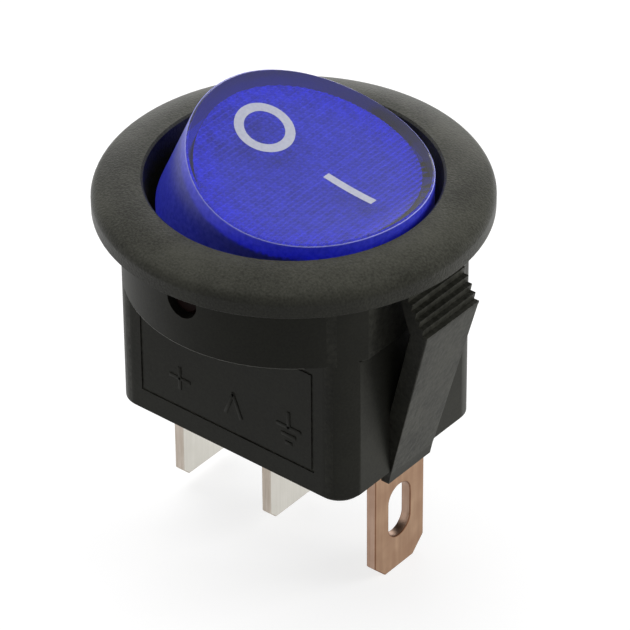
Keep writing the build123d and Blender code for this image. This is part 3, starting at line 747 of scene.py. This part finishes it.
def make_signs(nylon):
    """Plus, wedge and earth signs above the three terminals."""
    x, z = plus_place
    half = (plus_size - sign_stroke) / 2
    make_sign("plus_sign", [((x - half, z), (x + half, z)), ((x, z - half), (x, z + half))], nylon)
    x, z = wedge_place
    width, height = wedge_size
    make_sign("wedge_sign", [((x - width / 2, z - height / 2), (x, z + height / 2)),
                             ((x, z + height / 2), (x + width / 2, z - height / 2))], nylon)
    x, z = earth_place
    strokes = [((x, z), (x, z + earth_stem))]
    for row, length in enumerate(earth_bars):
        half = (length - sign_stroke) / 2
        strokes.append(((x - half, z - row * earth_pitch), (x + half, z - row * earth_pitch)))
    make_sign("earth_sign", strokes, nylon)


# Stage

def rays_that_see(tree):
    """The kinds of ray, and whether one shows the surface: to the camera, in a gloss or through glass."""
    ray = add(tree, "ShaderNodeLightPath")
    mirrored = add(tree, "ShaderNodeMath", {
        0: ray.outputs["Is Camera Ray"], 1: ray.outputs["Is Glossy Ray"]}, operation="MAXIMUM")
    seen = add(tree, "ShaderNodeMath", {
        0: mirrored.outputs[0], 1: ray.outputs["Is Transmission Ray"]}, operation="MAXIMUM")
    return ray, seen.outputs[0]


def make_floor():
    """A plain white floor under the blades, which keeps the shadow and is clear from below."""
    glow = 0.8
    material, tree, output = new_material("white_floor")
    ray, seen = rays_that_see(tree)
    lift = add(tree, "ShaderNodeMath", {0: seen, 1: glow}, operation="MULTIPLY")
    tone = add(tree, "ShaderNodeMix", {
        FACTOR: ray.outputs["Is Diffuse Ray"], FIRST: linear("#9a9a9a"), SECOND: linear("#5a5a5a")},
        data_type="RGBA")
    shader = add(tree, "ShaderNodeBsdfPrincipled", {
        "Base Color": tone.outputs[MIXED], "Roughness": 0.9, "Specular IOR Level": 0.0,
        "Emission Color": (1, 1, 1, 1), "Emission Strength": lift.outputs[0]})
    below = add(tree, "ShaderNodeNewGeometry").outputs["Backfacing"]
    clear = add(tree, "ShaderNodeBsdfTransparent")
    mixed = add(tree, "ShaderNodeMixShader", {0: below, 1: shader.outputs[0], 2: clear.outputs[0]})
    tree.links.new(mixed.outputs[0], output.inputs["Surface"])
    bpy.ops.object.select_all(action="DESELECT")
    bpy.ops.mesh.primitive_plane_add(size=floor_side * MM, location=(0, 0, cad_box[0].z))
    floor = bpy.context.object
    floor.name = "floor"
    floor.data.materials.append(material)


def make_world():
    """White behind the switch, which gloss mirrors dimmer overhead and with a glow, and a soft fill."""
    world = bpy.data.worlds.new("studio")
    bpy.context.scene.world = world
    world.use_nodes = True
    tree = world.node_tree
    tree.nodes.clear()
    ray, seen = rays_that_see(tree)
    fill = add(tree, "ShaderNodeBackground", {"Color": (1, 1, 1, 1), "Strength": 0.08})
    toward = add(tree, "ShaderNodeTexCoord").outputs["Generated"]
    height = add(tree, "ShaderNodeSeparateXYZ", {"Vector": toward}).outputs["Z"]
    fade = add(tree, "ShaderNodeMapRange", {"Value": height, "To Min": 1.0, "To Max": 0.85})
    behind = add(tree, "ShaderNodeVectorMath", {0: toward, 1: glow_direction}, operation="DOT_PRODUCT")
    glow = add(tree, "ShaderNodeMapRange", {
        "Value": behind.outputs["Value"], "From Min": 0.9, "To Max": 1.2})
    mirrored = add(tree, "ShaderNodeMath", {0: fade.outputs[0], 1: glow.outputs[0]}, operation="ADD")
    level = add(tree, "ShaderNodeMath", {
        0: mirrored.outputs[0], 1: ray.outputs["Is Camera Ray"]}, operation="MAXIMUM")
    white = add(tree, "ShaderNodeBackground", {"Color": (1, 1, 1, 1), "Strength": level.outputs[0]})
    mixed = add(tree, "ShaderNodeMixShader", {0: seen, 1: fill.outputs[0], 2: white.outputs[0]})
    output = add(tree, "ShaderNodeOutputWorld")
    tree.links.new(mixed.outputs[0], output.inputs["Surface"])


def add_lamp(name, place, side, power):
    """A soft square lamp that looks at the switch."""
    bpy.ops.object.light_add(type="AREA", location=[c * MM for c in place])
    lamp = bpy.context.object
    lamp.name = name
    lamp.data.size = side * MM
    lamp.data.energy = power
    lamp.visible_glossy = False
    lamp.rotation_euler = Vector(place).to_track_quat("Z", "Y").to_euler()


def make_camera():
    """The camera at the photo's angle."""
    back = Vector((math.sin(camera_azimuth) * math.cos(camera_elevation),
                   -math.cos(camera_azimuth) * math.cos(camera_elevation),
                   math.sin(camera_elevation)))
    turn = back.to_track_quat("Z", "Y") @ Quaternion((0, 0, 1), -camera_roll)
    place = camera_aim + back * camera_distance
    bpy.ops.object.camera_add(location=place * MM, rotation=turn.to_euler())
    camera = bpy.context.object
    camera.data.lens = camera_lens
    camera.data.sensor_width = camera_sensor
    camera.data.clip_start = camera_near * MM
    bpy.context.scene.camera = camera


nylon = moulded_nylon("moulded_black_nylon", "#30302b", "#3a3a34", grain=0.15, relief=0.01, gloss=0.12)
satin_nylon = moulded_nylon("satin_black_nylon", "#24241d", "#42423a",
                            grain=0.14, relief=0.06, gloss=0.2, roughness=0.4)
grained_nylon = moulded_nylon("grained_black_nylon", "#2a2a25", "#4a4a43",
                              grain=0.32, relief=0.05, gloss=0.14)
# Pale nylon for the hem's rounded edge: a painted highlight
hem_highlight_nylon = moulded_nylon("painted_highlight_nylon_hem", "#84847c", "#a0a098",
                                grain=0.3, relief=0.01, gloss=0.3)
polished_blue = clear_blue("polished_blue_polycarbonate", "#8888ee", "#9090f2", inside="#8c8cf0",
                           roughness=0.0, clarity=1.0)
# The satin side's dark grey violet inside colour is painted shade
satin_blue = clear_blue("satin_blue_polycarbonate", "#4850e4", "#686fff", inside="#383450",
                        roughness=0.35, clarity=0.5)
silver = rolled_metal("silver_plated_strip", "#d4d1c8", "#e0ddd5", streak=0.2, roughness=0.35)
sheared_silver = rolled_metal("sheared_strip_edge", "#a89c8e", "#c4bab0", streak=0.12, roughness=0.4)
worn_silver = rolled_metal("worn_silver_edge", "#b4aa9c", "#d0c8be", streak=0.2, roughness=0.4)
red_brass = rolled_metal("red_brass_strip", "#947258", "#b09074", streak=0.4, roughness=0.35)
sheared_brass = rolled_metal("sheared_brass_edge", "#9a7c68", "#b89c8a", streak=0.3, roughness=0.4)
worn_brass = rolled_metal("worn_brass_edge", "#6f4c36", "#8e684e", streak=0.3, roughness=0.4)
yellow_brass = rolled_metal("drawn_yellow_brass", "#a8823e", "#d9b566", streak=0.12, roughness=0.3)
spring_steel = rolled_metal("drawn_spring_steel", "#8d8d8d", "#c4c4c4", streak=0.08, roughness=0.3)
contact_silver = rolled_metal("pressed_contact_silver", "#c4c0b8", "#eeebe4", streak=0.2, roughness=0.25)
tinned_copper = rolled_metal("tinned_copper_wire", "#9c9c9c", "#cacaca", streak=0.1, roughness=0.4)

make_housing(nylon, satin_nylon, grained_nylon, hem_highlight_nylon)
make_signs(nylon)
rocker_skin = make_rocker(polished_blue, satin_blue, rim_highlight_blue(), wall_blue(), trunnion_shade())
make_ribs(ribbed_blue())
make_marks(rocker_skin, print_ink())
make_blade("terminal_supply", silver, sheared_silver, worn_silver)
make_blade("terminal_load", silver, sheared_silver, worn_silver)
make_blade("terminal_ground", red_brass, sheared_brass, worn_brass)
finished("fixed_contact", "housing", contact_silver)
finished("contact_arm", "contact_arm", silver)
finished("moving_contact", "contact_arm", contact_silver)
finished("plunger", "plunger", yellow_brass)
finished("lamp", "rocker", clear_resin())
finished("resistor", "rocker", lacquer())
for lead in ("lamp_ground_lead", "lamp_feed_lead", "resistor_feed_lead"):
    finished(lead, "rocker", tinned_copper)
make_springs(spring_steel)

make_floor()
make_world()
add_lamp("overhead", place=(-140, 60, 350), side=450, power=1.6)
add_lamp("side", place=(260, 260, 90), side=200, power=1.0)
make_camera()
bpy.context.scene.view_settings.view_transform = "Standard"
